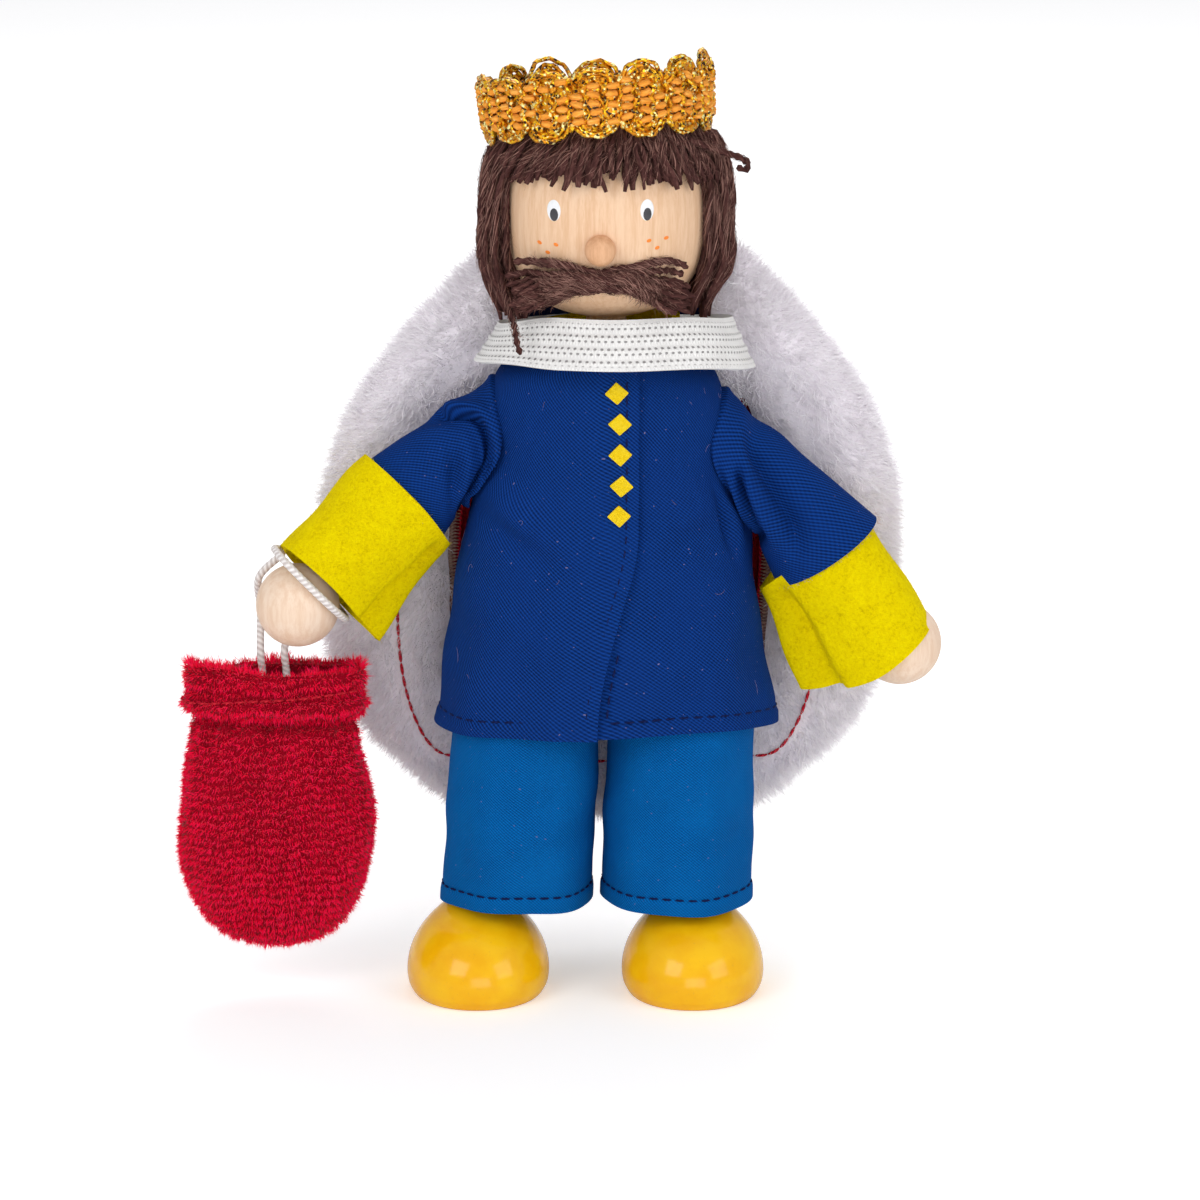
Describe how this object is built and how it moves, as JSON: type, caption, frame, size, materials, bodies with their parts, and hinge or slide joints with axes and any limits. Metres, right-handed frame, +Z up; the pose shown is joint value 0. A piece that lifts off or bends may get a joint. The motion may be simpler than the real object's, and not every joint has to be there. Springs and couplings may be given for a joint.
{
  "type": "bendable doll",
  "caption": "Bendable wooden dolls' house king figure with yarn hair, braid crown, sewn jacket and trousers, plush-edged cape and a drawstring pouch on its wrist.",
  "frame": {"origin": "On the floor, under the middle of the whole figure's bounding box.", "axes": "+Z up; -Y is the way the face looks; +X is the doll's left."},
  "size_m": [0.0944, 0.034, 0.1186],
  "materials": {
    "natural_wood": "satin turned wood",
    "painted_wood": "glossy yellow lacquer",
    "wire": "plain drawn wire",
    "limb_wrap": "wound cotton",
    "yarn": "wool yarn",
    "braid": "gold braid",
    "navy_twill": "brushed twill",
    "blue_twill": "fine twill",
    "felt": "felt",
    "elastic": "knitted elastic",
    "velvet": "velvet",
    "plush": "plush",
    "chenille": "chenille",
    "cord": "braided cord"
  },
  "bodies": {
    "torso": {"torso_block": "natural_wood", "shoulder_wire": "wire", "neck_dowel": "natural_wood", "jacket_back": "navy_twill", "jacket_front_right": "navy_twill", "jacket_front_left": "navy_twill", "jacket_skirt_right": "navy_twill", "jacket_skirt_left": "navy_twill", "diamond_1": "felt", "diamond_2": "felt", "diamond_3": "felt", "diamond_4": "felt", "diamond_5": "felt", "felt_collar": "felt", "neck_elastic": "elastic", "cape_panel": "velvet", "cape_fur": "plush", "trouser_seat": "blue_twill", "leg_root_wire_right": "wire", "leg_root_wire_left": "wire"},
    "head": {"head": "natural_wood", "nose": "natural_wood", "hair_back": "yarn", "hair_fringe": "yarn", "hair_lock_right": "yarn", "hair_lock_left": "yarn", "moustache": "yarn", "crown": "braid"},
    "upper_arm_right": {"upper_arm_right": "limb_wrap", "upper_arm_wire_right": "wire", "sleeve_right": "navy_twill"},
    "forearm_right": {"forearm_right": "limb_wrap", "forearm_wire_right": "wire", "hand_right": "natural_wood", "cuff_right": "felt"},
    "thigh_right": {"thigh_right": "limb_wrap", "thigh_wire_right": "wire", "trouser_thigh_right": "blue_twill"},
    "shin_right": {"shin_right": "limb_wrap", "shin_wire_right": "wire", "foot_right": "painted_wood", "trouser_shin_right": "blue_twill"},
    "upper_arm_left": {"upper_arm_left": "limb_wrap", "upper_arm_wire_left": "wire", "sleeve_left": "navy_twill"},
    "forearm_left": {"forearm_left": "limb_wrap", "forearm_wire_left": "wire", "hand_left": "natural_wood", "cuff_left": "felt"},
    "thigh_left": {"thigh_left": "limb_wrap", "thigh_wire_left": "wire", "trouser_thigh_left": "blue_twill"},
    "shin_left": {"shin_left": "limb_wrap", "shin_wire_left": "wire", "foot_left": "painted_wood", "trouser_shin_left": "blue_twill"},
    "pouch": {"pouch_bag": "chenille", "pouch_cord": "cord"}
  },
  "joints": [
    {"name": "head_turn", "type": "hinge", "parent": "torso", "child": "head", "pos_m": [0.00546, -0.0018, 0.087], "axis": [0, 0, 1], "range_deg": [-60, 60]},
    {"name": "right_shoulder", "type": "hinge", "parent": "torso", "child": "upper_arm_right", "pos_m": [-0.00714, -0.0018, 0.0735], "axis": [0, 1, 0], "range_deg": [-4, 60], "deforming": ["sleeve_right"]},
    {"name": "right_elbow", "type": "hinge", "parent": "upper_arm_right", "child": "forearm_right", "pos_m": [-0.02147, -0.00366, 0.06178], "axis": [0, 0, 1], "range_deg": [-10, 45], "deforming": ["cuff_right"]},
    {"name": "left_shoulder", "type": "hinge", "parent": "torso", "child": "upper_arm_left", "pos_m": [0.01986, -0.0018, 0.072], "axis": [0, -1, 0], "range_deg": [-4, 60], "deforming": ["sleeve_left"]},
    {"name": "left_elbow", "type": "hinge", "parent": "upper_arm_left", "child": "forearm_left", "pos_m": [0.03194, -0.00347, 0.05796], "axis": [0, 0, -1], "range_deg": [-10, 60], "deforming": ["cuff_left"]},
    {"name": "right_hip", "type": "hinge", "parent": "torso", "child": "thigh_right", "pos_m": [-0.00254, -0.0018, 0.042], "axis": [-1, 0, 0], "range_deg": [-10, 65], "deforming": ["trouser_thigh_right", "jacket_skirt_right"]},
    {"name": "right_knee", "type": "hinge", "parent": "thigh_right", "child": "shin_right", "pos_m": [-0.0072, -0.0018, 0.026], "axis": [1, 0, 0], "range_deg": [0, 45], "deforming": ["trouser_shin_right"]},
    {"name": "left_hip", "type": "hinge", "parent": "torso", "child": "thigh_left", "pos_m": [0.01346, -0.0018, 0.042], "axis": [-1, 0, 0], "range_deg": [-10, 65], "deforming": ["trouser_thigh_left", "jacket_skirt_left"]},
    {"name": "left_knee", "type": "hinge", "parent": "thigh_left", "child": "shin_left", "pos_m": [0.01514, -0.0018, 0.026], "axis": [1, 0, 0], "range_deg": [0, 45], "deforming": ["trouser_shin_left"]},
    {"name": "pouch_hang", "type": "hinge", "parent": "forearm_right", "child": "pouch", "pos_m": [-0.03076, -0.00565, 0.05262], "axis": [0, 1, 0], "range_deg": [-60, 4], "deforming": ["pouch_cord"]}
  ],
  "couplings": [
    {"joint": "pouch_hang", "follows": "right_shoulder", "ratio": -1}
  ]
}
